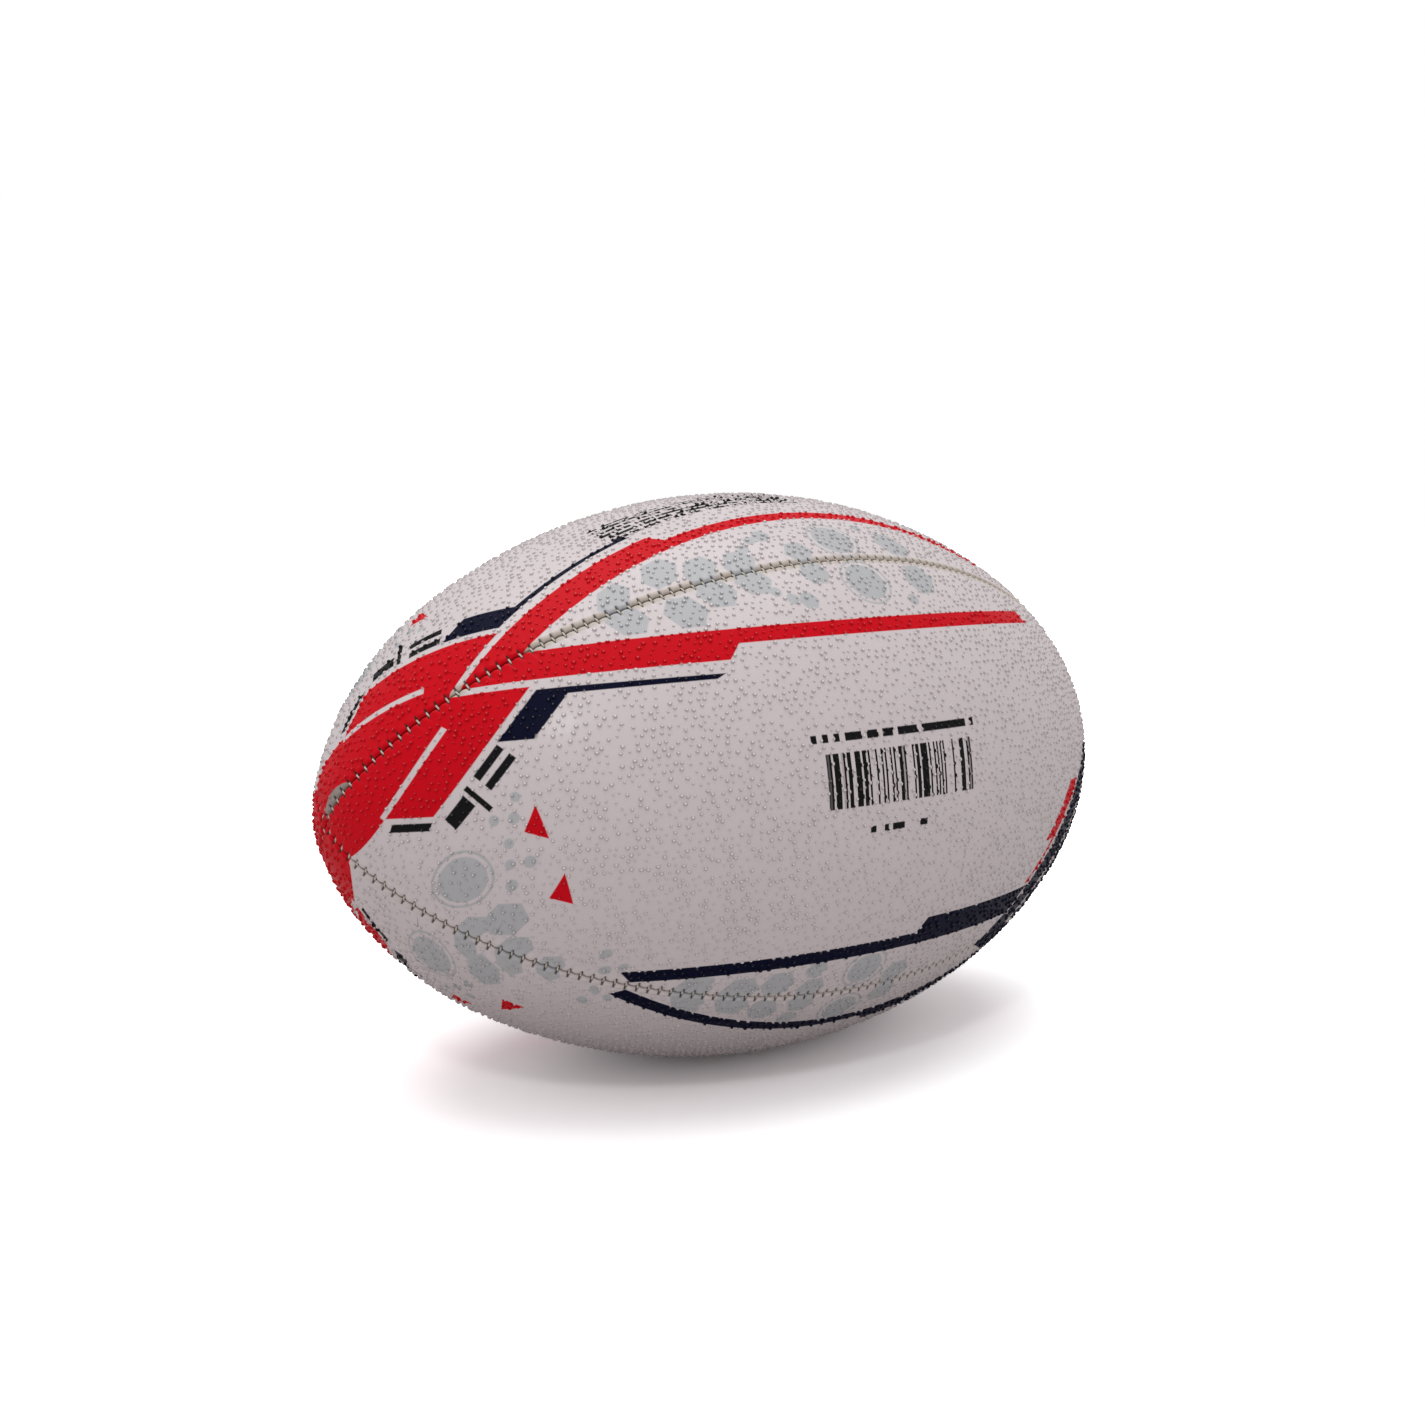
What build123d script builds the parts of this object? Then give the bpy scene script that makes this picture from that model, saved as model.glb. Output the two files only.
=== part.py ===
"""A size 5 rugby ball, lying on its side.

Four pimpled rubber panels, each backed by three plies of woven lining, are sewn edge to edge along four
seams that run from tip to tip. Their edges turn inwards as flanges, and the thread shows in a shallow groove
over each seam. Inside, a butyl bladder holds the air, with a moulded valve that reaches the back panel.

Millimetres. The origin is the middle of the ball, +X its long axis, +Z up, and the back panel faces +Y.
"""

from build123d import *
from math import cos, radians, sin
import os

# The outside shape: three arcs that meet smoothly, from the middle of the ball out to each tip.
ball_length = 295.0
ball_diameter = 186.0
nose_radius = 39.5  # the round tip
belly_angle = 30.0  # how far the long middle arc turns from the middle of the ball
nose_angle = 63.5  # where the shoulder arc hands over to the tip, by the same measure
seam_turn = 37.4  # how far the ball lies turned on its long axis

# The layers, from the outside in.
cover_thickness = 1.1
ply_thickness = 0.4
ply_names = ["outer", "middle", "inner"]
bladder_thickness = 0.8
bladder_gap = 0.05  # between the linings and the bladder that presses on them

# The sewn edges.
seam_gap = 0.2  # between the faces of two flanges
flange_depth = 5.0  # how far an edge turns in, measured from the outside of the ball
groove_radius = 0.9
stitch_pitch = 3.4
thread_radius = 0.28
stitch_end_gap = 0.04  # between a stitch and the groove's wall
tip_margin = 3.0  # from the tip to the first stitch, along the seam

# The valve, from the outside in.
valve_hole_radius = 3.3
valve_hole_gap = 0.2  # between the casing's hole and the neck of the valve
bladder_hole_gap = 0.02
valve_recess = 0.3  # how far the neck stands below the outside of the ball
valve_disc_radius = 14.0
valve_disc_thickness = 1.4
valve_barrel_radius = 5.6
valve_barrel_length = 15.0
core_radius = 2.0
core_bead_radius = 2.8
core_bead_length = 3.0
core_gap = 0.02  # between the core and the valve it is pushed into
core_length = 15.5
needle_radius = 1.0
needle_depth = 11.0
needle_lead_in = 0.4

# Tangent arcs: two equations, the ball's half length and its radius, give the belly and shoulder radii.
half_length = ball_length / 2
ball_radius = ball_diameter / 2
belly_sin, belly_cos = sin(radians(belly_angle)), cos(radians(belly_angle))
nose_sin, nose_cos = sin(radians(nose_angle)), cos(radians(nose_angle))
along = half_length - nose_radius * (1 - nose_sin)
across = ball_radius - nose_radius * nose_cos
determinant = belly_sin * (belly_cos - nose_cos) - (nose_sin - belly_sin) * (1 - belly_cos)
belly_radius = (along * (belly_cos - nose_cos) - across * (nose_sin - belly_sin)) / determinant
shoulder_radius = (across * belly_sin - along * (1 - belly_cos)) / determinant
shoulder_x = (belly_radius - shoulder_radius) * belly_sin
shoulder_y = ball_radius - belly_radius + (belly_radius - shoulder_radius) * belly_cos

lining_depth = cover_thickness + len(ply_names) * ply_thickness
bladder_depth = lining_depth + bladder_gap
half_gap = seam_gap / 2
panel_names = ["top", "front", "bottom", "back"]
seam_names = ["upper_back", "upper_front", "lower_front", "lower_back"]
valve_panel = panel_names.index("back")


def lengthwise_plane(turn):
    """The plane through the long axis whose y direction points out of the ball at this turn about +X."""
    return Plane(
        origin=(0, 0, 0),
        x_dir=(1, 0, 0),
        z_dir=(0, -sin(radians(turn)), cos(radians(turn))),
    )


def seam_plane(index):
    """The plane of one seam, which faces into the panel of the same index."""
    return lengthwise_plane(seam_turn + 90 * index)


def profile_arcs(depth):
    """Draws the ball's outline from tip to tip, this far inside the outer surface."""
    nose_x = half_length - nose_radius
    nose_arc = 90 - nose_angle
    shoulder_arc = nose_angle - belly_angle
    CenterArc((nose_x, 0), nose_radius - depth, 0, nose_arc)
    CenterArc((shoulder_x, shoulder_y), shoulder_radius - depth, nose_arc, shoulder_arc)
    CenterArc((0, ball_radius - belly_radius), belly_radius - depth, 90 - belly_angle, 2 * belly_angle)
    CenterArc((-shoulder_x, shoulder_y), shoulder_radius - depth, 90 + belly_angle, shoulder_arc)
    CenterArc((-nose_x, 0), nose_radius - depth, 90 + nose_angle, nose_arc)


def half_outline(depth):
    """Draws the outline and closes it along the long axis."""
    profile_arcs(depth)
    tip = half_length - depth
    Line((-tip, 0), (tip, 0))


def ball_solid(depth):
    """The whole ball, this far inside the outer surface."""
    with BuildPart() as ball:
        with BuildSketch(seam_plane(0)):
            with BuildLine():
                half_outline(depth)
            make_face()
        revolve(axis=Axis.X)
    return ball.part


def quarter_solid(index, depth, inset):
    """The quarter of the ball under one panel: this deep, and this far from both of its seam planes."""
    with BuildPart() as quarter:
        with BuildSketch(seam_plane(index)):
            with BuildLine():
                half_outline(depth)
            make_face()
        revolve(axis=Axis.X, revolution_arc=90)
        split(bisect_by=seam_plane(index).offset(inset), keep=Keep.TOP)
        split(bisect_by=seam_plane(index + 1).offset(-inset), keep=Keep.BOTTOM)
    return quarter.part


def valve_hole(radius):
    """Cuts a round hole along the valve's axis, right through the layer that is being made."""
    with Locations(valve_face.location):
        Cylinder(radius, 2 * flange_depth, mode=Mode.SUBTRACT)


# The valve stands in the middle of the back panel, square to its surface.
valve_section = lengthwise_plane(seam_turn + 90 * valve_panel + 45)
valve_out = valve_section.y_dir
valve_face = Plane(origin=valve_out * ball_radius, x_dir=(1, 0, 0), z_dir=valve_out)
valve_axis = Axis(valve_face.origin, valve_out)
neck_radius = valve_hole_radius - valve_hole_gap
flange_core = ball_solid(flange_depth)

os.makedirs("parts", exist_ok=True)


def layer(index, depth, thickness):
    """One layer of one panel, with its edges turned in along both seams down to the flange depth."""
    with BuildPart() as shell:
        add(quarter_solid(index, depth, half_gap + depth))
        add(quarter_solid(index, depth + thickness, half_gap + depth + thickness), mode=Mode.SUBTRACT)
        add(flange_core, mode=Mode.SUBTRACT)
        if index == valve_panel:
            valve_hole(valve_hole_radius)
    return shell.part


# Covers and linings.
seam_grooves = []
for index in range(4):
    with BuildPart() as groove:
        with BuildLine(seam_plane(index)) as seam_line:
            profile_arcs(0)
        with BuildSketch(Plane(origin=seam_line.line @ 0, z_dir=seam_line.line % 0)):
            Circle(groove_radius)
        sweep()
    seam_grooves.append(groove.part)

for index, panel_name in enumerate(panel_names):
    with BuildPart() as cover:
        add(layer(index, 0, cover_thickness))
        add(seam_grooves[index], mode=Mode.SUBTRACT)
        add(seam_grooves[(index + 1) % 4], mode=Mode.SUBTRACT)
    cover.part.label = f"cover_panel_{panel_name}"
    export_step(cover.part, f"parts/cover_panel_{panel_name}.step")
    for ply_index, ply_name in enumerate(ply_names):
        with BuildPart() as ply:
            add(layer(index, cover_thickness + ply_index * ply_thickness, ply_thickness))
        ply.part.label = f"lining_{ply_name}_{panel_name}"
        export_step(ply.part, f"parts/lining_{ply_name}_{panel_name}.step")

# Seam threads: each stitch crosses the groove, just clear of its wall.
stitch_depth = groove_radius / 2
groove_half_width = (groove_radius**2 - (stitch_depth + thread_radius) ** 2) ** 0.5
for index, seam_name in enumerate(seam_names):
    with BuildLine(seam_plane(index)) as seam_line:
        profile_arcs(stitch_depth)
    seam_wire = seam_line.wire()
    sewn_length = seam_wire.length - 2 * tip_margin
    stitch_count = int(sewn_length / stitch_pitch) + 1
    spots = [(tip_margin + sewn_length * n / (stitch_count - 1)) / seam_wire.length for n in range(stitch_count)]
    across_seam = [Plane(origin=seam_wire @ spot, z_dir=seam_plane(index).z_dir) for spot in spots]
    with BuildPart() as thread:
        with Locations(*[plane.location for plane in across_seam]):
            Cylinder(thread_radius, 2 * (groove_half_width - stitch_end_gap))
    thread.part.label = f"seam_thread_{seam_name}"
    export_step(thread.part, f"parts/seam_thread_{seam_name}.step")
    print(seam_name, "stitches", stitch_count)


def bladder_solid(depth):
    """The space inside the casing, this far from its layers: four quarters joined by the ball inside."""
    beyond = depth - lining_depth
    with BuildPart() as space:
        add(ball_solid(flange_depth + beyond))
        for index in range(4):
            add(quarter_solid(index, depth, half_gap + depth))
    return space.part


# The bladder fills the casing and dips over the sewn flanges.
with BuildPart() as bladder:
    add(bladder_solid(bladder_depth))
    add(bladder_solid(bladder_depth + bladder_thickness), mode=Mode.SUBTRACT)
    valve_hole(neck_radius + bladder_hole_gap)
bladder.part.label = "bladder"
export_step(bladder.part, "parts/bladder.step")

# The valve body: a neck through the casing, a disc bonded inside the bladder and a barrel below it.
disc_depth = bladder_depth + bladder_thickness
barrel_bottom = disc_depth + valve_disc_thickness + valve_barrel_length
bead_middle = needle_depth
with BuildPart() as valve_body:
    with Locations(valve_face.location):
        Cylinder(valve_disc_radius, 4 * disc_depth)
    add(ball_solid(disc_depth), mode=Mode.INTERSECT)
    add(ball_solid(disc_depth + valve_disc_thickness), mode=Mode.SUBTRACT)
    with BuildSketch(valve_face.offset(-valve_recess)):
        Circle(neck_radius)
    extrude(amount=-(disc_depth + valve_disc_thickness - valve_recess))
    with BuildSketch(valve_face.offset(-disc_depth - valve_disc_thickness / 2)):
        Circle(valve_barrel_radius)
    extrude(amount=-(valve_barrel_length + valve_disc_thickness / 2))
    with BuildSketch(valve_face.offset(-valve_recess)):
        Circle(core_radius + core_gap)
    extrude(amount=-(barrel_bottom - valve_recess), mode=Mode.SUBTRACT)
    with BuildSketch(valve_face.offset(-bead_middle + core_bead_length / 2 + core_gap)):
        Circle(core_bead_radius + core_gap)
    extrude(amount=-(core_bead_length + 2 * core_gap), mode=Mode.SUBTRACT)
valve_body.part.label = "valve_body"
export_step(valve_body.part, "parts/valve_body.step")

# The valve core: a soft plug with a bead that locks it in the body, and a blind channel for the needle.
with BuildPart() as valve_core:
    with BuildSketch(valve_face.offset(-valve_recess)):
        Circle(core_radius)
    extrude(amount=-core_length)
    with BuildSketch(valve_face.offset(-bead_middle + core_bead_length / 2)):
        Circle(core_bead_radius)
    extrude(amount=-core_bead_length)
    with BuildSketch(valve_face.offset(-valve_recess)):
        Circle(needle_radius)
    extrude(amount=-needle_depth, mode=Mode.SUBTRACT)
    mouth = valve_core.edges().filter_by(GeomType.CIRCLE).group_by(SortBy.RADIUS)[0].sort_by(valve_axis)[-1]
    chamfer(mouth, needle_lead_in)
valve_core.part.label = "valve_core"
export_step(valve_core.part, "parts/valve_core.step")

print("radii", round(belly_radius, 2), round(shoulder_radius, 2), nose_radius)
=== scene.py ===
"""A size 5 rugby ball lying on its side on a white table.

Four pimpled rubber panels are sewn along four seams that meet at both tips. Lengths are worked out in
millimetres on the flat, as the panels are cut, and laid on the ball in metres.
"""

import random
from math import asin, atan2, ceil, copysign, cos, hypot, pi, radians, sin, sqrt
import bpy
import bmesh
from mathutils import Matrix, Vector
from mathutils.geometry import delaunay_2d_cdt


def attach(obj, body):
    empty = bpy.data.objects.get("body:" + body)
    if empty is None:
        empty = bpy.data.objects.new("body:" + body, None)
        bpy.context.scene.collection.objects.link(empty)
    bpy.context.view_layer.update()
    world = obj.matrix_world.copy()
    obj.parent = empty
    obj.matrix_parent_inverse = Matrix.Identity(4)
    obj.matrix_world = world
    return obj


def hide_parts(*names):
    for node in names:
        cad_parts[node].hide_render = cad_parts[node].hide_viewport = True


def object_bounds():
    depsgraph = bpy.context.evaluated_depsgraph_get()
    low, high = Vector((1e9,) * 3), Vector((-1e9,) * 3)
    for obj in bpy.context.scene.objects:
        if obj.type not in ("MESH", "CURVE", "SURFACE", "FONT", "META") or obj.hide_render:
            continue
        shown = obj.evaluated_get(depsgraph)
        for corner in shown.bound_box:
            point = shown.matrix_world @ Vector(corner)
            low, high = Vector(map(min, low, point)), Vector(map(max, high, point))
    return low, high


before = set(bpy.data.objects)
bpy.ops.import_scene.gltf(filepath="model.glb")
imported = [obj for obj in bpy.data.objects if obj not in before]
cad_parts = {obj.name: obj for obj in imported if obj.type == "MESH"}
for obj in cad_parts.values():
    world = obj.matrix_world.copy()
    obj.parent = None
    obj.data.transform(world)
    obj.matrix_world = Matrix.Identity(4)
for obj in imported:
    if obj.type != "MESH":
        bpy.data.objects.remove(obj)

cad_low, cad_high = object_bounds()

# --- Table, camera and light ------------------------------------------------------------------------
# A white table in a white room, with a big soft light above it and a small lamp in front. The camera
# stands a little above the ball, off its near tip, and looks slightly past its middle.
camera_distance = 0.5579
camera_azimuth = radians(37.2)
camera_elevation = radians(10.3)
aim_left = radians(0.75)
aim_up = radians(2.0)
table_radius = 6.0
lit_white = (0.55, 0.52, 0.52, 1)
seen_white = (1.75, 1.72, 1.72, 1)
scene = bpy.context.scene

camera = bpy.data.objects.new("camera", bpy.data.cameras.new("camera"))
camera.data.lens = 41.4
camera.data.sensor_width = 36
camera.data.clip_start = 0.01
camera.location = camera_distance * Vector((
    -sin(camera_azimuth) * cos(camera_elevation),
    -cos(camera_azimuth) * cos(camera_elevation),
    sin(camera_elevation),
))
camera.rotation_euler = (pi / 2 - camera_elevation + aim_up, 0, -camera_azimuth + aim_left)
scene.collection.objects.link(camera)
scene.camera = camera


def seen_apart(tree, lighting, seen, output):
    """Shows the camera one shader, while the light that bounces meets another."""
    path = tree.nodes.new("ShaderNodeLightPath")
    choice = tree.nodes.new("ShaderNodeMixShader")
    tree.links.new(path.outputs["Is Camera Ray"], choice.inputs[0])
    tree.links.new(lighting.outputs[0], choice.inputs[1])
    tree.links.new(seen.outputs[0], choice.inputs[2])
    tree.links.new(choice.outputs[0], tree.nodes[output].inputs[0])


table_mesh = bmesh.new()
bmesh.ops.create_circle(table_mesh, cap_ends=True, segments=64, radius=table_radius)
table_data = bpy.data.meshes.new("table")
table_mesh.to_mesh(table_data)
table_mesh.free()
table = bpy.data.objects.new("table", table_data)
table.location.z = cad_low.z
scene.collection.objects.link(table)
table_white = bpy.data.materials.new("white_table")
table_white.use_nodes = True
table_tree = table_white.node_tree
table_shader = table_tree.nodes["Principled BSDF"]
table_shader.inputs["Base Color"].default_value = lit_white
table_shader.inputs["Roughness"].default_value = 0.8
overexposed = table_tree.nodes.new("ShaderNodeBsdfDiffuse")
overexposed.inputs["Color"].default_value = seen_white
seen_apart(table_tree, table_shader, overexposed, "Material Output")
table_data.materials.append(table_white)

softbox_data = bpy.data.lights.new("overhead_softbox", "SUN")
softbox_data.energy = 1.46
softbox_data.angle = radians(60)
softbox = bpy.data.objects.new("overhead_softbox", softbox_data)
softbox.rotation_euler = (radians(-4), radians(2), 0)
scene.collection.objects.link(softbox)

front_lamp_data = bpy.data.lights.new("front_lamp", "AREA")
front_lamp_data.size = 0.12
front_lamp_data.energy = 1.6
front_lamp = bpy.data.objects.new("front_lamp", front_lamp_data)
front_lamp.location = (-0.75, -0.75, 0.85)
front_lamp.rotation_euler = (-front_lamp.location).to_track_quat("-Z", "Y").to_euler()
scene.collection.objects.link(front_lamp)

world = bpy.data.worlds.new("white_room")
world.use_nodes = True
room = world.node_tree
room_light = room.nodes["Background"]
room_light.inputs["Color"].default_value = (0.97, 0.98, 1, 1)
room_light.inputs["Strength"].default_value = 0.64
wall = room.nodes.new("ShaderNodeBackground")
wall.inputs["Color"].default_value = (1, 1, 1, 1)
seen_apart(room, room_light, wall, "World Output")
scene.world = world
scene.view_settings.view_transform = "Standard"

# --- Cover panels -----------------------------------------------------------------------------------
# Four leaf-shaped panels, pressed from 1.1 mm rubber with pimples of three sizes all over. Their edges
# are rolled in and sewn, so each edge dips into the seam and is pinched at every stitch.
MM = 0.001
half_length = cad_high.x / MM
ball_radius = cad_high.y / MM
nose_radius = 39.5
belly_angle = radians(30)
nose_angle = radians(63.5)
seam_turn = radians(37.4)
cover_thickness = 1.1
flange_depth = 5.0
half_gap = 0.1

along = half_length - nose_radius * (1 - sin(nose_angle))
across = ball_radius - nose_radius * cos(nose_angle)
sin_step, cos_step = sin(nose_angle) - sin(belly_angle), cos(belly_angle) - cos(nose_angle)
belly_drop = 1 - cos(belly_angle)
determinant = sin(belly_angle) * cos_step - sin_step * belly_drop
belly_radius = (along * cos_step - across * sin_step) / determinant
shoulder_radius = (across * sin(belly_angle) - along * belly_drop) / determinant
shoulder_x = (belly_radius - shoulder_radius) * sin(belly_angle)
shoulder_y = ball_radius - belly_radius + (belly_radius - shoulder_radius) * cos(belly_angle)
belly_length = belly_radius * belly_angle
shoulder_length = shoulder_radius * (nose_angle - belly_angle)
seam_half_length = belly_length + shoulder_length + nose_radius * (pi / 2 - nose_angle)


def outline_point(s, height=0):
    """How far along the axis and how far from it the outline is, s millimetres from the middle."""
    distance = abs(s)
    if distance < belly_length:
        centre, radius, angle = (0, ball_radius - belly_radius), belly_radius, distance / belly_radius
    elif distance < belly_length + shoulder_length:
        angle = belly_angle + (distance - belly_length) / shoulder_radius
        centre, radius = (shoulder_x, shoulder_y), shoulder_radius
    else:
        angle = nose_angle + (distance - belly_length - shoulder_length) / nose_radius
        centre, radius = (half_length - nose_radius, 0), nose_radius
    x = centre[0] + (radius + height) * sin(angle)
    return copysign(x, s), max(centre[1] + (radius + height) * cos(angle), 0)


def outline_place(x, y):
    """The reverse: arc length from the middle, and height over the outline, of a point near it."""
    distance = abs(x)
    from_centre = y - ball_radius + belly_radius
    angle = atan2(distance, from_centre)
    if angle < belly_angle:
        return copysign(belly_radius * angle, x), hypot(distance, from_centre) - belly_radius
    angle = atan2(distance - shoulder_x, y - shoulder_y)
    if angle < nose_angle:
        s = belly_length + shoulder_radius * (angle - belly_angle)
        return copysign(s, x), hypot(distance - shoulder_x, y - shoulder_y) - shoulder_radius
    angle = atan2(distance - half_length + nose_radius, y)
    s = belly_length + shoulder_length + nose_radius * (angle - nose_angle)
    return copysign(s, x), hypot(distance - half_length + nose_radius, y) - nose_radius


def half_width(s):
    """Half the width of a panel, across its curved surface."""
    return outline_point(s)[1] * pi / 4


least_radius = 1e-6  # of the ball at its tips, so that nothing is divided by nought


def lay_on_ball(bm, middle_turn, sign):
    """Moves flat points (along, across, height) to their places on the ball."""
    for vert in bm.verts:
        s, v, height = vert.co
        x, y = outline_point(s, height)
        surface_y = max(outline_point(s)[1], least_radius)
        turn = middle_turn + sign * v / surface_y
        vert.co = MM * Vector((x, y * cos(turn), y * sin(turn)))


# The edge, from the pimpled face over the roll and down the flange, round its end and up the back:
# distance from the seam and height. The first five rows are pinched at each stitch, and rows two to five
# puff up between stitches.
edge_section = [
    (2.1, 0.0), (1.4, -0.06), (0.85, -0.26), (0.42, -0.62), (0.18, -1.1), (half_gap, -1.8),
    (half_gap, -flange_depth), (half_gap + cover_thickness, -flange_depth),
    (half_gap + cover_thickness, -cover_thickness),
]
edge_puff = [0.0, 0.30, 0.46, 0.34, 0.12, 0, 0, 0, 0]
edge_pinch = [-0.12, -0.55, -0.85, -0.7, -0.35, 0, 0, 0, 0]
tip_margin = 3.0
stitch_gaps = 108
stitch_pitch = (2 * seam_half_length - 2 * tip_margin) / stitch_gaps
steps_per_stitch = 7
edge_step = stitch_pitch / steps_per_stitch
edge_steps = 2 * ceil(seam_half_length / edge_step)
fade_length = 2.0  # over which the puffs and pinches fade out at the tips
merge_distance = 0.004


def panel_edge(bm):
    """The rolled edge as a ring of strips round the flat panel, rows by section and steps by stitch."""
    rows = len(edge_section) - 1
    made = bmesh.ops.create_grid(bm, x_segments=2 * edge_steps, y_segments=rows, size=1)["verts"]
    face_ring, back_ring = [], []
    for vert in made:
        step = round((vert.co.x + 1) * edge_steps)
        row = round((vert.co.y + 1) * rows / 2)
        side = 1 if step <= edge_steps else -1
        step = step - edge_steps / 2 if side == 1 else 3 * edge_steps / 2 - step
        inset, height = edge_section[row]
        reach = seam_half_length - nose_radius * asin(4 * inset / pi / nose_radius)
        s = max(-reach, min(reach, step * edge_step))
        phase = (step % steps_per_stitch) / steps_per_stitch
        fade = min(1, (reach - abs(s)) / fade_length)
        height += fade * edge_puff[row] * (1 - cos(2 * pi * phase)) / 2
        if phase == 0:
            height += fade * edge_pinch[row]
        width = half_width(s) - inset
        vert.co = (s, side * max(width, 0) if abs(s) < reach else 0, height)
        if row == 0:
            face_ring.append((side, s if side == 1 else -s, vert))
        elif row == rows:
            back_ring.append((side, s if side == 1 else -s, vert))
    bmesh.ops.remove_doubles(bm, verts=made, dist=merge_distance)
    rings = [sorted(ring, key=lambda item: (-item[0], item[1])) for ring in (face_ring, back_ring)]
    return [[vert for side, s, vert in ring if vert.is_valid] for ring in rings]


def scatter(spacing, jitter, closest, margin, seed):
    """Points over the flat panel: staggered rows, each point shifted at random, none too near another."""
    dice = random.Random(seed)
    row_gap = spacing * sqrt(3) / 2
    rows = int(ball_radius * pi / 4 / row_gap)
    columns = int(seam_half_length / spacing) + 1
    points = []
    for row in range(-rows, rows + 1):
        for column in range(-columns, columns + 1):
            s = (column + 0.5 * (row % 2)) * spacing + dice.uniform(-jitter, jitter)
            v = row * row_gap + dice.uniform(-jitter, jitter)
            crowded = any(hypot(s - other[0], v - other[1]) < closest for other in points[-2 * columns - 4:])
            if abs(s) < seam_half_length and abs(v) < half_width(s) - margin and not crowded:
                points.append((s, v))
    return points


def fill_flat(bm, loops, points, height, hole_radius=0):
    """Joins scattered points, and the loops round them, into triangles. Returns the points and the faces."""
    rims = [vert for loop in loops for vert in loop]
    flat = [Vector(vert.co.xy) for vert in rims] + [Vector(point) for point in points]
    around = []
    for loop in loops:
        first = len(around)
        around += [(first + i, first + (i + 1) % len(loop)) for i in range(len(loop))]
    result = delaunay_2d_cdt(flat, around, [], 1, 1e-5)
    verts = []
    inner = []
    for place, sources in zip(result[0], result[3]):
        if sources and min(sources) < len(rims):
            verts.append(rims[min(sources)])
        else:
            verts.append(bm.verts.new((place.x, place.y, height)))
            inner.append(verts[-1])
    filled = []
    for corners in result[2]:
        middle = sum((Vector(result[0][i]) for i in corners), Vector((0, 0))) / len(corners)
        if middle.length > hole_radius:
            filled.append(bm.faces.new([verts[i] for i in corners]))
    return inner, filled


pimple_spacing = 2.5
pimple_jitter = 0.75
pimple_closest = 1.6
pimple_margin = 2.9
pimple_sizes = [(0.80, 0.64), (0.66, 0.54), (0.46, 0.38)]  # radius and height
pimple_shares = [4, 3, 4]
largest_base = 3.6  # area of a pimple's outline at most, over its radius squared
shoulder_inset, shoulder_rise = 0.34, 0.74  # of the radius and of the height
crown_rise = 0.3


def raise_pimples(bm, centres, seed):
    """Cuts a small polygon round each centre and draws it up into a dome."""
    dice = random.Random(seed)
    dome = bm.verts.layers.float["dome"]
    groups = [[] for size in pimple_sizes]
    for vert in centres:
        groups[dice.choices(range(len(pimple_sizes)), pimple_shares)[0]].append(vert)
    for group, (radius, height) in zip(groups, pimple_sizes):
        cut = bmesh.ops.bevel(
            bm, geom=group, offset=radius * MM, affect="VERTICES", segments=1, profile=0.5, material=-1
        )
        bases = [face for face in cut["faces"] if face.calc_area() < largest_base * (radius * MM) ** 2]
        for rim in {edge for face in bases for edge in face.edges}:
            rim.smooth = False
        inset, rise = shoulder_inset * radius * MM, shoulder_rise * height * MM
        bmesh.ops.inset_individual(bm, faces=bases, thickness=inset, depth=rise)
        for vert in {vert for face in bases for vert in face.verts}:
            vert[dome] = -1
        for vert in bmesh.ops.poke(bm, faces=bases, offset=crown_rise * height * MM)["verts"]:
            vert[dome] = 1


flat_length = 400.0
flat_width = 200.0
face_row, back_row = 0.42, 0.92  # where the middles of the face and the back lie on the map
back_shrink = 0.2


def map_panel(bm, middle_turn, sign):
    """Writes each corner's place on the flat panel to the UV map, with the back of the rubber beside it."""
    layer = bm.loops.layers.uv["OFBake"]
    edge = bm.verts.layers.float["edge"]
    for vert in bm.verts:
        x, y, z = vert.co / MM
        s, height = outline_place(x, hypot(y, z))
        turn = (atan2(z, y) - middle_turn + pi) % (2 * pi) - pi
        v = sign * turn * outline_point(s)[1]
        vert[edge] = half_width(s) - abs(v)
        for loop in vert.link_loops:
            if loop.face.material_index == 1:
                loop[layer].uv = (0.5 + s / flat_length, back_row + back_shrink * v / flat_width)
            else:
                over = copysign(min(height + 1, 0), v)
                loop[layer].uv = (0.5 + s / flat_length, face_row + (v + over) / flat_width)


def new_piece(bm, name, materials, slot, *nodes):
    """Makes a smooth piece of the finished mesh that stands for these solids."""
    mesh = bpy.data.meshes.new(name)
    bm.to_mesh(mesh)
    bm.free()
    mesh.polygons.foreach_set("use_smooth", [True] * len(mesh.polygons))
    for material in materials:
        mesh.materials.append(material)
    piece = bpy.data.objects.new(name, mesh)
    scene.collection.objects.link(piece)
    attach(piece, "root")
    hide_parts(*nodes)
    return piece


valve_hole_radius = 3.3
valve_hole_sides = 32
valve_hole_margin = 1.2
back_spacing = 9.0
back_margin = 5.0
flange_start = -2.0  # faces below this height are bare
scatter_seed, dome_seed = 11, 71


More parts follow.
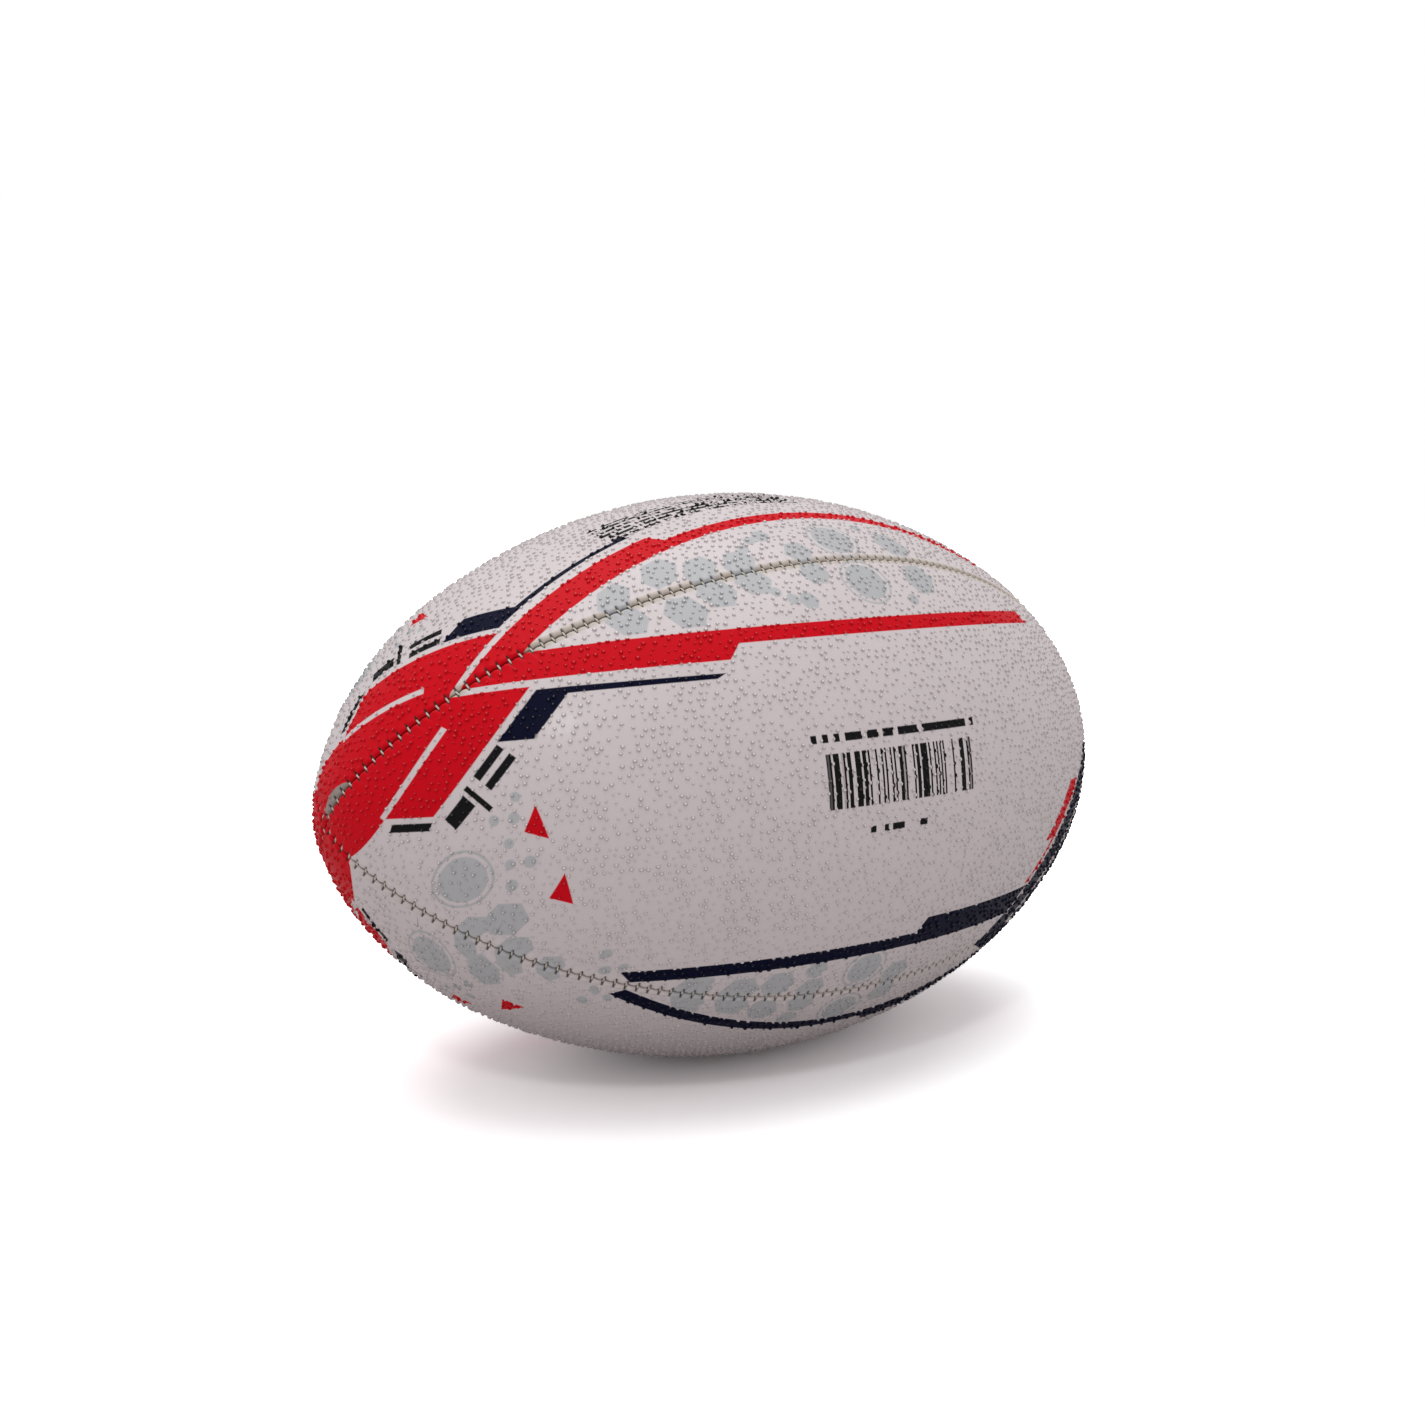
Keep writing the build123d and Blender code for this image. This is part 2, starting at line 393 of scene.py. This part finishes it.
def cover_panel(index, name, materials):
    """One panel, from its flat edge to the finished piece."""
    bm = bmesh.new()
    bm.loops.layers.uv.new("OFBake")
    bm.verts.layers.float.new("edge")
    bm.verts.layers.float.new("dome")
    middle_turn = seam_turn + pi / 4 + index * pi / 2
    sign = -1 if index % 2 == 0 else 1
    face_ring, back_ring = panel_edge(bm)
    face_loops, back_loops, hole_radius = [face_ring], [back_ring], 0
    if name == "back":
        hole_radius = valve_hole_radius
        rims = []
        for depth in (0, cover_thickness):
            sunk = Matrix.Translation((0, 0, -depth))
            rim = bmesh.ops.create_circle(bm, segments=valve_hole_sides, radius=hole_radius, matrix=sunk)
            rims.append(rim["verts"])
        rim_edges = {edge for rim in rims for vert in rim for edge in vert.link_edges}
        bmesh.ops.bridge_loops(bm, edges=list(rim_edges))
        face_loops.append(rims[0])
        back_loops.append(rims[1])
    points = scatter(pimple_spacing, pimple_jitter, pimple_closest, pimple_margin, scatter_seed + index)
    points = [point for point in points if hypot(*point) > hole_radius + valve_hole_margin]
    centres = fill_flat(bm, face_loops, points, 0, hole_radius)[0]
    back_points = scatter(back_spacing, 0, 0, back_margin, 0)
    back_points = [point for point in back_points if hypot(*point) > hole_radius]
    back = fill_flat(bm, back_loops, back_points, -cover_thickness, hole_radius)[1]
    flanges = [face for face in bm.faces if min(vert.co.z for vert in face.verts) < flange_start]
    for face in back + flanges:
        face.material_index = 1
    lay_on_ball(bm, middle_turn, sign)
    bmesh.ops.recalc_face_normals(bm, faces=bm.faces)
    if bm.calc_volume(signed=True) < 0:
        bmesh.ops.reverse_faces(bm, faces=bm.faces)
    raise_pimples(bm, centres, dome_seed + index)
    map_panel(bm, middle_turn, sign)
    return new_piece(bm, f"cover_{name}", materials, "cover_rubber", f"cover_panel_{name}")


class Shade:
    """A value in a shader. Arithmetic on it adds Math nodes, and node() adds any other kind."""

    def __init__(self, tree, socket=None):
        self.tree = tree
        self.socket = socket

    def node(self, kind, settings, inputs, output=0):
        """Adds a node: its settings first, then the values and links of its sockets."""
        made = self.tree.nodes.new("ShaderNode" + kind)
        for name, setting in settings.items():
            setattr(made, name, setting)
        for name, value in inputs.items():
            if isinstance(value, Shade):
                self.tree.links.new(value.socket, made.inputs[name])
            else:
                made.inputs[name].default_value = value
        return Shade(self.tree, made.outputs[output])

    def math(self, operation, *values):
        return self.node("Math", {"operation": operation}, dict(enumerate(values)))

    def __add__(self, other):
        return self.math("ADD", self, other)

    def __sub__(self, other):
        return self.math("SUBTRACT", self, other)

    def __rsub__(self, other):
        return self.math("SUBTRACT", other, self)

    def __mul__(self, other):
        return self.math("MULTIPLY", self, other)

    def __truediv__(self, other):
        return self.math("DIVIDE", self, other)

    __radd__ = __add__
    __rmul__ = __mul__

    def floor(self):
        return self.math("FLOOR", self)

    def fraction(self):
        return self.math("FRACT", self)

    def size(self):
        return self.math("ABSOLUTE", self)

    def both(self, other):
        """Inside two shapes at once: the smaller of two distances."""
        return self.math("MINIMUM", self, other)

    def either(self, other):
        """Inside either of two shapes: the larger of two distances."""
        return self.math("MAXIMUM", self, other)

    def mask(self, softness):
        """One where the distance is above nought, with an edge this soft."""
        settings = {"operation": "MULTIPLY_ADD", "use_clamp": True}
        return self.node("Math", settings, {0: self, 1: 1 / softness, 2: 0.5})

    def over(self, colour, ink):
        """Lays an ink on a colour where this mask is one."""
        settings = {"data_type": "RGBA", "clamp_factor": True}
        return self.node("Mix", settings, {0: self, 6: colour, 7: ink}, 2)

    def noise(self, scale, detail=2.0):
        """Cloudy noise over this place."""
        return self.node("TexNoise", {}, {"Vector": self, "Scale": scale, "Detail": detail})

    def bump(self, strength, distance):
        """A surface raised by this height."""
        return self.node("Bump", {}, {"Strength": strength, "Distance": distance, "Height": self})

    def dot(self, direction):
        """This vector's dot product with a fixed one."""
        return self.node("VectorMath", {"operation": "DOT_PRODUCT"}, {0: self, 1: direction}, 1)

    def split(self):
        """The three parts of a vector."""
        parts = self.node("SeparateXYZ", {}, {0: self})
        return [Shade(self.tree, socket) for socket in parts.socket.node.outputs]

    def place(self):
        """The place in the ball's own coordinates."""
        return self.node("TexCoord", {}, {}, 3)

    def attribute(self, name):
        """A number stored on the mesh."""
        return self.node("Attribute", {"attribute_name": name}, {}, 2)


def start_material(name, roughness):
    """An empty material: the first value to build on, and its shader."""
    material = bpy.data.materials.new(name)
    material.use_nodes = True
    shader = material.node_tree.nodes["Principled BSDF"]
    shader.inputs["Roughness"].default_value = roughness
    return material, Shade(material.node_tree), shader


def connect(shade, shader, **sockets):
    """Links values to the shader's sockets."""
    for name, value in sockets.items():
        shade.tree.links.new(value.socket, shader.inputs[name.replace("_", " ")])


def convex(flat, corners):
    """How far inside a convex shape a flat place is, from its corners in order."""
    middle = sum((Vector(corner) for corner in corners), Vector((0, 0))) / len(corners)
    inside = None
    for start, end in zip(corners, corners[1:] + corners[:1]):
        along_edge = (Vector(end) - Vector(start)).normalized()
        inward = Vector((-along_edge.y, along_edge.x))
        if inward.dot(middle - Vector(start)) < 0:
            inward = -inward
        line = (inward.x, inward.y, -inward.dot(Vector(start)))
        distance = flat.dot(line)
        inside = distance if inside is None else inside.both(distance)
    return inside


def slanted(low, high, near, far):
    """Corners of a bar between two 45 degree lines, s + v from low to high and s - v from near to far."""
    bounds = [(low, near), (high, near), (high, far), (low, far)]
    return [((diagonal + cross) / 2, (diagonal - cross) / 2) for diagonal, cross in bounds]


def disc(flat, centre, radius):
    """How far inside a circle a flat place is."""
    place = (centre[0], centre[1], 1)
    return radius - flat.node("VectorMath", {"operation": "DISTANCE"}, {0: flat, 1: place}, 1)


def hexagon(flat, centre, radius):
    """How far inside a regular hexagon a flat place is, folded on to one quarter of it."""
    apothem = radius * cos(pi / 6)
    moved = flat.node("VectorMath", {"operation": "SUBTRACT"}, {0: flat, 1: (centre[0], centre[1], 1)})
    folded = flat.node("VectorMath", {"operation": "ABSOLUTE"}, {0: moved})
    slope = folded.dot((cos(pi / 6), sin(pi / 6), 0))
    level = folded.dot((0, 1, 0))
    return apothem - slope.either(level)


# The print, on the flat panel: red towards the seam at -v, navy towards the seam at +v. First the red
# stripe beside the seam, the red end, two triangles and two slivers at the navy end.
red_shapes = [
    [(-135, -49.4), (-135, -39.4), (-55.3, -39.4), (-51, -44.4), (-51, -49.4)],
    [(-60, -49.4), (-60, -44.4), (82, -44.4), (79, -49.4)],
    [(-195, -37.2), (-111.6, -37.2), (-147.4, -1.4), (-195, -1.4)],
    [(-126.8, -37.2), (-264, 100), (-300, 100), (-300, -37.2)],
    [(-118.2, -3.0), (-121.8, 4.2), (-115.0, 6.6)],
    [(-110.6, 16.7), (-114.2, 23.9), (-107.4, 26.3)],
    [(73, 31), (82, 31), (101, 12), (92, 12)],
    [(64.5, 46), (67, 46), (82, 31), (79.5, 31)],
]
bare_line = slanted(-166.2, -164, -162.2, -111)  # across the red end

# Navy beside the red end, then the navy stripe, the navy end and the bare lines across it.
navy_shapes = [
    slanted(-146.3, -136.4, -300, 300),
    [(-104, -36), (-58, -35.4), (-61, -33.9), (-104, -33.9)],
]
navy_quad = [(-150, -36), (-90, -36), (-90, -21.2), (-150, -21.2)]
navy_stripe = [
    [(-89.5, 52.1), (5.7, 52.1), (9.5, 56.8), (-85.4, 56.8)],
    [(5.7, 52.1), (9.1, 47), (100, 47), (100, 56.8), (5.7, 56.8)],
]
navy_body = slanted(115.5, 400, -300, 300)
navy_body_side, navy_body_start = 1.4, 134
navy_gaps = [slanted(131, 133.5, -200, 128), [(58.8, 57.6), (60.2, 57.6), (67.1, 48), (65.7, 48)]]

# Plain black bars beside the red end, and pale discs and hexagons near the seams.
black_shapes = [
    slanted(-146, -142.9, -122, -105),
    slanted(-140.5, -137.4, -122, -105),
    slanted(-145.8, -132.9, -129.2, -126.8),
    slanted(-144.6, -138.5, -143.5, -131),
    [(-160.6, 0.2), (-147.9, 0.2), (-148.8, 2.5), (-161.5, 2.5)],
]
pale_discs = [
    ((-138.7, 17.3), 7.1), ((1.8, -63), 7.2), ((-10.1, 63.1), 6.0), ((-124.3, 0.2), 1.6),
    ((-130, 0.6), 1.5), ((-123.4, -5.5), 1.4), ((-120.2, 12.7), 1.8), ((-126.1, 7.2), 1.5),
    ((-125.7, 13.2), 1.5), ((-124.8, 19.4), 1.8), ((-95.2, 44.4), 1.8), ((-93.8, 51), 1.8),
    ((-89.1, 50.1), 1.5), ((-62.5, 58.7), 1.6), ((-32.1, -61.2), 1.9), ((-27.8, -58), 2.1),
    ((17.2, -55), 2.2),
]
ringed = 3  # how many of the discs have a thin ring round them
ring_gap, ring_reach = 1.1, 1.9
pale_hexagons = [
    ((-124.7, 30.6), 6.4), ((-120.1, 41.4), 5.2), ((-132.9, 33.4), 4.6), ((-109.2, 48.6), 4.5),
    ((-78.3, -56.2), 6.2), ((-61.5, -56.8), 6.6), ((-49.8, -62.8), 6.3), ((-36.9, -66), 6.0),
    ((-22.8, -57), 3.4), ((-15.2, -67.6), 5.2), ((25.8, -63.2), 7.0), ((-66.5, 62.2), 6.2),
    ((-51.8, 64.7), 6.2), ((-40.1, 63.6), 5.6), ((-27.8, 68), 5), ((-28.8, 59.5), 3.8),
    ((4.2, 68.1), 5.5),
]

red_ink = (0.60, 0.002, 0.010, 1)
navy_ink = (0.001, 0.002, 0.017, 1)
black_ink = (0.008, 0.008, 0.009, 1)
pale_ink = (0.45, 0.45, 0.457, 1)
rubber_colour = (0.66, 0.59, 0.59, 1)
mottled_colour = (0.61, 0.54, 0.54, 1)
raw_colour = (0.52, 0.45, 0.38, 1)
leaf_colour = (0.30, 0.26, 0.235, 1)
# The colour of painted shade, on the pimples' flanks and in the seam's slits.
painted_shade_colour = (0.03, 0.022, 0.016, 1)
white = (1, 1, 1, 1)
print_edge = 0.3


def union(flat, shapes):
    """How far inside the nearest of several convex shapes a flat place is."""
    inside = None
    for corners in shapes:
        shape = convex(flat, corners)
        inside = shape if inside is None else inside.either(shape)
    return inside


def bars(flat, s, corners, step, seed):
    """Upright bars of uneven width inside a block."""
    slot = (s / step).floor()
    dice = flat.node("TexWhiteNoise", {"noise_dimensions": "1D"}, {"W": slot + seed}, 0)
    return convex(flat, corners).both((dice - 0.52) * 20)


def dashes(flat, s, v, corners, row_gap, step, seed):
    """Rows of short dashes of uneven length inside a block."""
    rows = (v - corners[0][1]) / row_gap
    row = rows.floor()
    across_row = rows.fraction()
    slot = (s / step).floor()
    place = flat.node("CombineXYZ", {}, {0: slot, 1: row, 2: seed})
    dice = flat.node("TexWhiteNoise", {"noise_dimensions": "3D"}, {"Vector": place}, 0)
    line = (0.3 - (across_row - 0.5).size()) * row_gap
    return convex(flat, corners).both(line).both((dice - 0.3) * 20)


def printed_rubber(name, marks):
    """Pimpled rubber with the ball's print, and this panel's own small black marks."""
    material, shade, shader = start_material(name, 0.5)
    map_u, map_v = shade.node("UVMap", {"uv_map": "OFBake"}, {}).split()[:2]
    s = (map_u - 0.5) * flat_length
    v = (map_v - face_row) * flat_width
    flat = shade.node("CombineXYZ", {}, {0: s, 1: v, 2: 1})
    edge = shade.attribute("edge")

    bare_stroke = convex(flat, bare_line).mask(print_edge)
    red = union(flat, red_shapes).mask(print_edge) * (1 - bare_stroke)
    navy = convex(flat, navy_shapes[0]).both(convex(flat, navy_quad))
    navy = navy.either(convex(flat, navy_shapes[1]))
    far_end = convex(flat, navy_body).both(v - navy_body_side).either(s + v - navy_body_start)
    gaps = union(flat, navy_gaps).mask(print_edge)
    navy = navy.either(union(flat, navy_stripe)).either(far_end).mask(print_edge) * (1 - gaps)
    black = union(flat, black_shapes)
    leaf = 0 - edge  # bare at the very edge, and wider where the panel has a leaf
    for kind, settings in marks:
        if kind == "bars":
            black = black.either(bars(flat, s, *settings))
        elif kind == "dashes":
            black = black.either(dashes(flat, s, v, *settings))
        else:
            middle, reach, width = settings
            offset = (s - middle) / reach
            leaf = ((1 - offset * offset) * width - edge).both(0 - v)
    pale = disc(flat, *pale_discs[0])
    for centre, radius in pale_discs[1:]:
        pale = pale.either(disc(flat, centre, radius))
    for centre, radius in pale_hexagons:
        pale = pale.either(hexagon(flat, centre, radius))
    for centre, radius in pale_discs[:ringed]:
        outside_gap = 0 - disc(flat, centre, radius + ring_gap)
        pale = pale.either(disc(flat, centre, radius + ring_reach).both(outside_gap))

    # The rubber, a little raw along its edge, under the pale shapes and the inks.
    mottle = shade.place().noise(60)
    grain = shade.place().noise(900, 3.0)
    rubber = (mottle * 0.5 + 0.1).over(rubber_colour, mottled_colour)
    raw = (1.9 - edge).mask(0.8)
    beside_red = (0 - v).mask(4)
    rubber = (raw * (beside_red * 0.6 + 0.25)).over(rubber, raw_colour)
    rubber = pale.mask(0.5).over(rubber, pale_ink)
    colour = red.over(rubber, red_ink)
    colour = navy.over(colour, navy_ink)
    black = black.mask(print_edge)
    colour = black.over(colour, black_ink)
    colour = leaf.mask(0.5).over(colour, leaf_colour)

    # Painted shade round each pimple's flank and a painted highlight on its crown, and painted shade in the
    # slits of the seam.
    inked = red.either(navy).either(black)
    dome = shade.attribute("dome")
    crown, flank = (dome * 2.2).both(1).either(0), (0 - dome).either(0)
    # Painted shade: each pimple's flank is darkened towards a near-black colour.
    colour = (flank * 0.3).over(colour, painted_shade_colour)
    # Painted highlight: each pimple's crown is lightened towards white, less so on the inks.
    colour = (crown * (0.65 - inked * 0.57)).over(colour, white)
    # Painted shade in the seam: dark slits at each stitch and a dark line along the very edge of the panel.
    from_stitch = ((s / stitch_pitch + 0.5).fraction() - 0.5).size() * stitch_pitch
    slit = (0.5 - from_stitch - edge * 0.12).both(2.0 - edge).either(0.25 - edge)
    colour = (slit.mask(0.3) * 0.88).over(colour, painted_shade_colour)

    # A thin satin coat that shows most on the crowns, and not on the inks.
    bump = grain.bump(0.25, 0.0002)
    shader.inputs["Specular IOR Level"].default_value = 0.06
    shader.inputs["Coat Roughness"].default_value = 0.25
    roughness = 0.42 - inked * 0.05 + grain * 0.10
    gloss = crown * 0.6 + 0.4 - inked * 0.4
    connect(shade, shader, Base_Color=colour, Roughness=roughness, Coat_Weight=gloss, Normal=bump)
    return material


def bare_rubber():
    """The unprinted back of the panels, with cement and talc left on it."""
    material, shade, shader = start_material("bare_rubber", 0.75)
    dust = shade.place().noise(140, 4.0)
    colour = dust.over((0.60, 0.54, 0.45, 1), (0.44, 0.38, 0.31, 1))
    connect(shade, shader, Base_Color=colour, Roughness=0.6 + dust * 0.3)
    return material


# Each panel's own marks: blocks of bars or dashes, and a bare leaf beside the seam at the tip.
panel_marks = {
    "top": [
        ("dashes", ([(-65, -34.6), (10, -34.6), (10, -20), (-65, -20)], 2.6, 0.9, 3)),
        ("leaf", (-179, 8, 3.8)),
    ],
    "front": [
        ("bars", ([(-34, -9), (23.7, -9), (23.7, 7), (-34, 7)], 0.66, 5)),
        ("dashes", ([(-38, -15.5), (24.6, -15.5), (24.6, -11.5), (-38, -11.5)], 4.0, 1.9, 7)),
        ("dashes", ([(-20, 12.5), (5, 12.5), (5, 15.8), (-20, 15.8)], 3.3, 1.5, 9)),
    ],
    "bottom": [],
    "back": [],
}
back_material = bare_rubber()
for index, (name, marks) in enumerate(panel_marks.items()):
    cover_panel(index, name, [printed_rubber(f"printed_rubber_{name}", marks), back_material])

# --- Seam threads -----------------------------------------------------------------------------------
# Waxed twisted polyester thread. Each stitch crosses from panel to panel at the bottom of a pinch and
# dives into both rolled edges, a little askew.
thread_radius = 0.3
thread_sides = 7
arch_steps = 7
stitch_reach = 0.95
stitch_rise = 0.55
stitch_depth = 1.0
least_skew, most_skew = 0.05, 0.3
skew_seed = 200


def seam_thread(index, name, material):
    """All the stitches of one seam, as arches set across it."""
    bm = bmesh.new()
    dice = random.Random(skew_seed + index)
    start = Matrix.Translation((0, stitch_reach, 0))
    rim = bmesh.ops.create_circle(bm, segments=thread_sides, radius=thread_radius, matrix=start)
    edges = list({edge for vert in rim["verts"] for edge in vert.link_edges})
    bmesh.ops.spin(bm, geom=edges, axis=(1, 0, 0), cent=(0, 0, 0), angle=pi, steps=arch_steps)
    bmesh.ops.holes_fill(bm, edges=bm.edges)
    bmesh.ops.recalc_face_normals(bm, faces=bm.faces)
    bmesh.ops.scale(bm, vec=(1, 1, stitch_rise / stitch_reach), verts=bm.verts)
    stitch = list(bm.verts) + list(bm.edges) + list(bm.faces)
    turn = seam_turn + index * pi / 2
    for spot in range(stitch_gaps + 1):
        s = (spot - stitch_gaps / 2) * stitch_pitch
        copy = bmesh.ops.duplicate(bm, geom=stitch)["geom"]
        verts = [item for item in copy if isinstance(item, bmesh.types.BMVert)]
        x, y = outline_point(s, -stitch_depth)
        ahead = Vector(outline_point(s + 0.5)) - Vector(outline_point(s - 0.5))
        slope = atan2(ahead.y, ahead.x)
        place = Matrix.Rotation(turn - pi / 2, 4, "X") @ Matrix.Translation((x, 0, y))
        place = place @ Matrix.Rotation(-slope, 4, "Y")
        skew = Matrix.Rotation(dice.uniform(least_skew, most_skew), 4, "Z")
        bmesh.ops.transform(bm, matrix=Matrix.Scale(MM, 4) @ place @ skew, verts=verts)
    bmesh.ops.delete(bm, geom=stitch, context="VERTS")
    return new_piece(bm, f"thread_{name}", [material], "thread", f"seam_thread_{name}")


def waxed_thread():
    """Off-white polyester thread, with its twist as fine slanted ridges."""
    material, shade, shader = start_material("waxed_thread", 0.55)
    settings = {"bands_direction": "DIAGONAL"}
    inputs = {"Vector": shade.place(), "Scale": 1400, "Distortion": 1.0}
    twist = shade.node("TexWave", settings, inputs, 1)
    colour = twist.over((0.46, 0.40, 0.33, 1), (0.70, 0.65, 0.57, 1))
    connect(shade, shader, Base_Color=colour, Normal=twist.bump(0.5, 0.0001))
    return material


thread_material = waxed_thread()
for index, name in enumerate(["upper_back", "upper_front", "lower_front", "lower_back"]):
    seam_thread(index, name, thread_material)

# --- Linings ----------------------------------------------------------------------------------------
# Three plies of plain-woven cloth behind each panel: polyester, cotton, polyester. They are cemented to
# the rubber and to each other, and turn in with it at the seams.
def woven_lining(name, light, dark, yarn):
    """A plain weave, its yarns running along the ball and round it."""
    material, shade, shader = start_material(name, 0.85)
    x, y, z = shade.place().split()
    warp = shade.math("SINE", x / (yarn * MM))
    around = shade.math("ARCTAN2", z, y) * (ball_radius / yarn)
    weft = shade.math("SINE", around)
    weave = warp * weft * 0.5 + 0.5
    colour = weave.over(dark, light)
    connect(shade, shader, Base_Color=colour, Normal=weave.bump(0.6, 0.0001))
    return material


cloths = {
    "outer": woven_lining("woven_polyester", (0.72, 0.71, 0.66, 1), (0.5, 0.49, 0.45, 1), 0.16),
    "middle": woven_lining("woven_cotton", (0.66, 0.59, 0.45, 1), (0.42, 0.36, 0.26, 1), 0.22),
}
cloths["inner"] = cloths["outer"]
for ply, cloth in cloths.items():
    for panel in panel_marks:
        bpy.data.objects[f"lining_{ply}_{panel}"].material_slots[0].material = cloth

# --- Bladder and valve ------------------------------------------------------------------------------
# A black butyl bladder dusted with talc, the dark valve body moulded to it, and the soft red-brown core
# that takes the pump needle.
def moulded_rubber(name, colour, dust_colour, dust, roughness):
    """Smooth moulded rubber with some talc on it."""
    material, shade, shader = start_material(name, roughness)
    cloud = shade.place().noise(55, 5.0)
    speck = shade.place().noise(1600)
    talc = ((cloud + speck * 0.5 - 0.75) * 3).mask(1) * dust
    powdered = talc.over(colour, dust_colour)
    bump = speck.bump(0.2, 0.0001)
    connect(shade, shader, Base_Color=powdered, Roughness=talc * 0.3 + roughness, Normal=bump)
    return material


moulded = {
    "bladder": moulded_rubber("talced_butyl", (0.02, 0.02, 0.021, 1), (0.5, 0.5, 0.48, 1), 0.5, 0.5),
    "valve_body": moulded_rubber("valve_rubber", (0.05, 0.048, 0.046, 1), (0.4, 0.4, 0.38, 1), 0.25, 0.48),
    "valve_core": moulded_rubber("core_rubber", (0.30, 0.035, 0.022, 1), (0.55, 0.4, 0.36, 1), 0.2, 0.42),
}
for node, material in moulded.items():
    bpy.data.objects[node].material_slots[0].material = material
